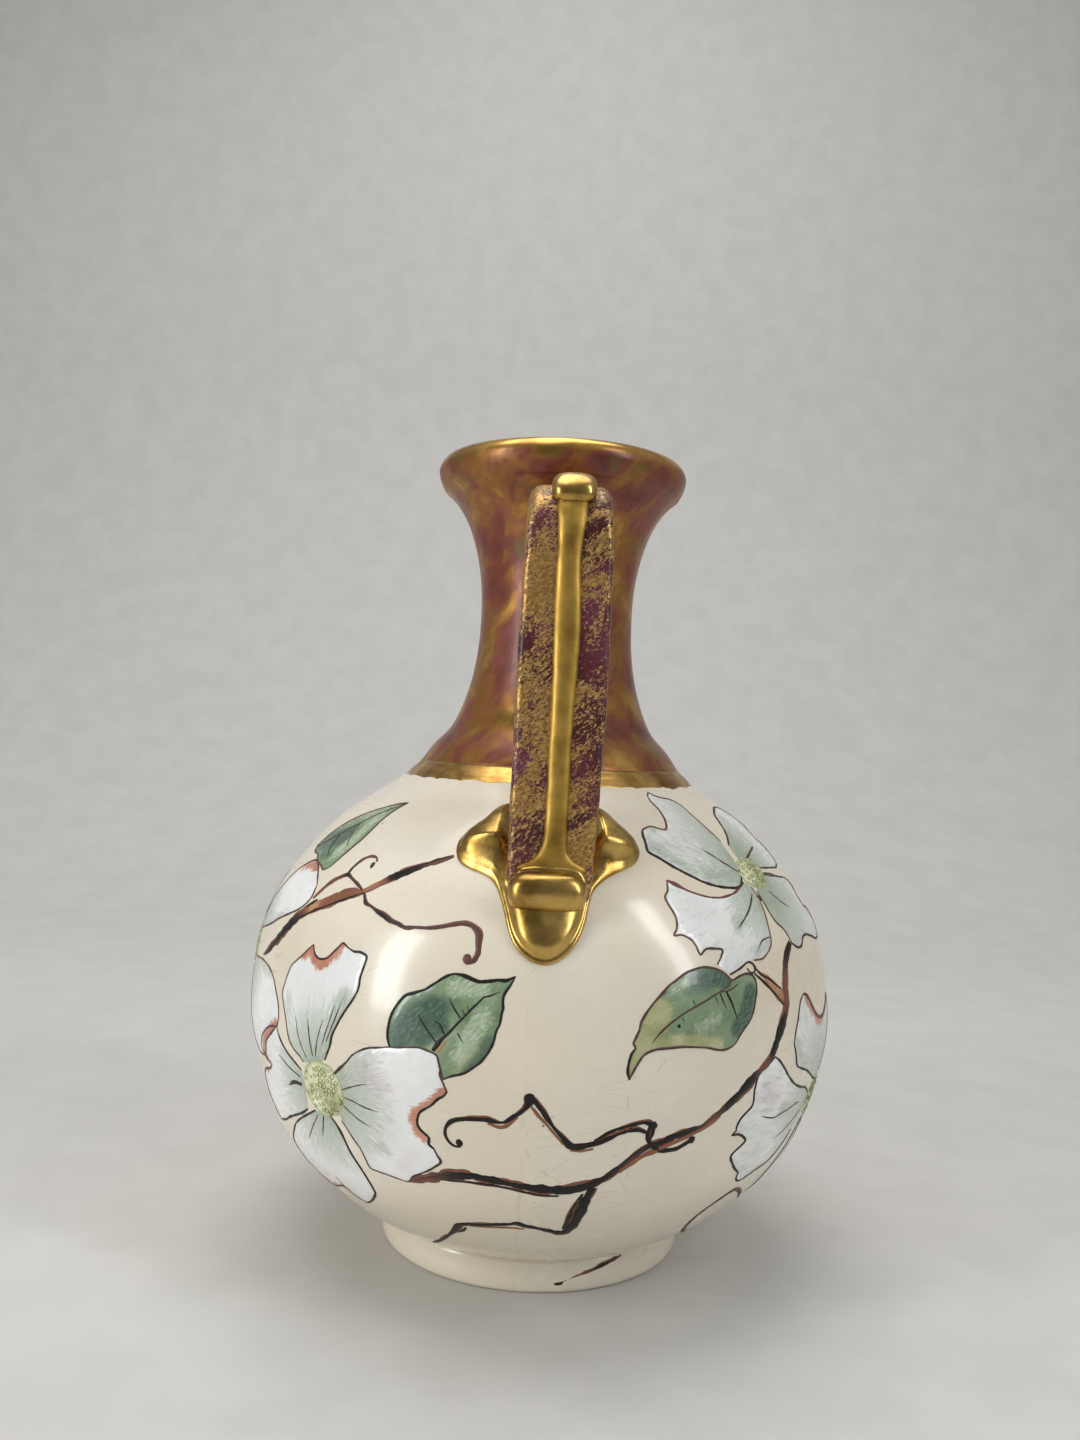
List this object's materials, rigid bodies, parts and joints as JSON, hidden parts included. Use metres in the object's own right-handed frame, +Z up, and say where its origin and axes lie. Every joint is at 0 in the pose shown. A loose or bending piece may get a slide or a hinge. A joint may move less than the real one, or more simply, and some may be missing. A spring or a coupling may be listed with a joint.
{
  "type": "porcelain vase",
  "caption": "Round-bellied hand-painted porcelain vase on a turned foot, with a waisted sponged neck, rolled gilt lip and an upright strap handle with a gilt rib and mount.",
  "frame": {"origin": "middle of the foot ring's underside, on the axis the vase was turned about", "axes": "+Z up along the turning axis; the handle stands on the -Y side; +X to the right as the handle is faced"},
  "size_m": [0.147, 0.147, 0.2],
  "materials": {
    "ivory_glaze": "gloss",
    "sponged_glaze": "gloss",
    "burnished_gold": "polished",
    "painted_enamel": "gloss"
  },
  "bodies": {
    "root": {"foot_ring": "ivory_glaze", "body": "ivory_glaze", "neck": "sponged_glaze", "neck_band": "burnished_gold", "lip": "burnished_gold", "handle_strap": "sponged_glaze", "handle_rib": "burnished_gold", "handle_boss": "burnished_gold", "handle_bolster": "burnished_gold", "mount_tongue": "burnished_gold", "mount_lobe_left": "burnished_gold", "mount_lobe_right": "burnished_gold"}
  },
  "joints": []
}
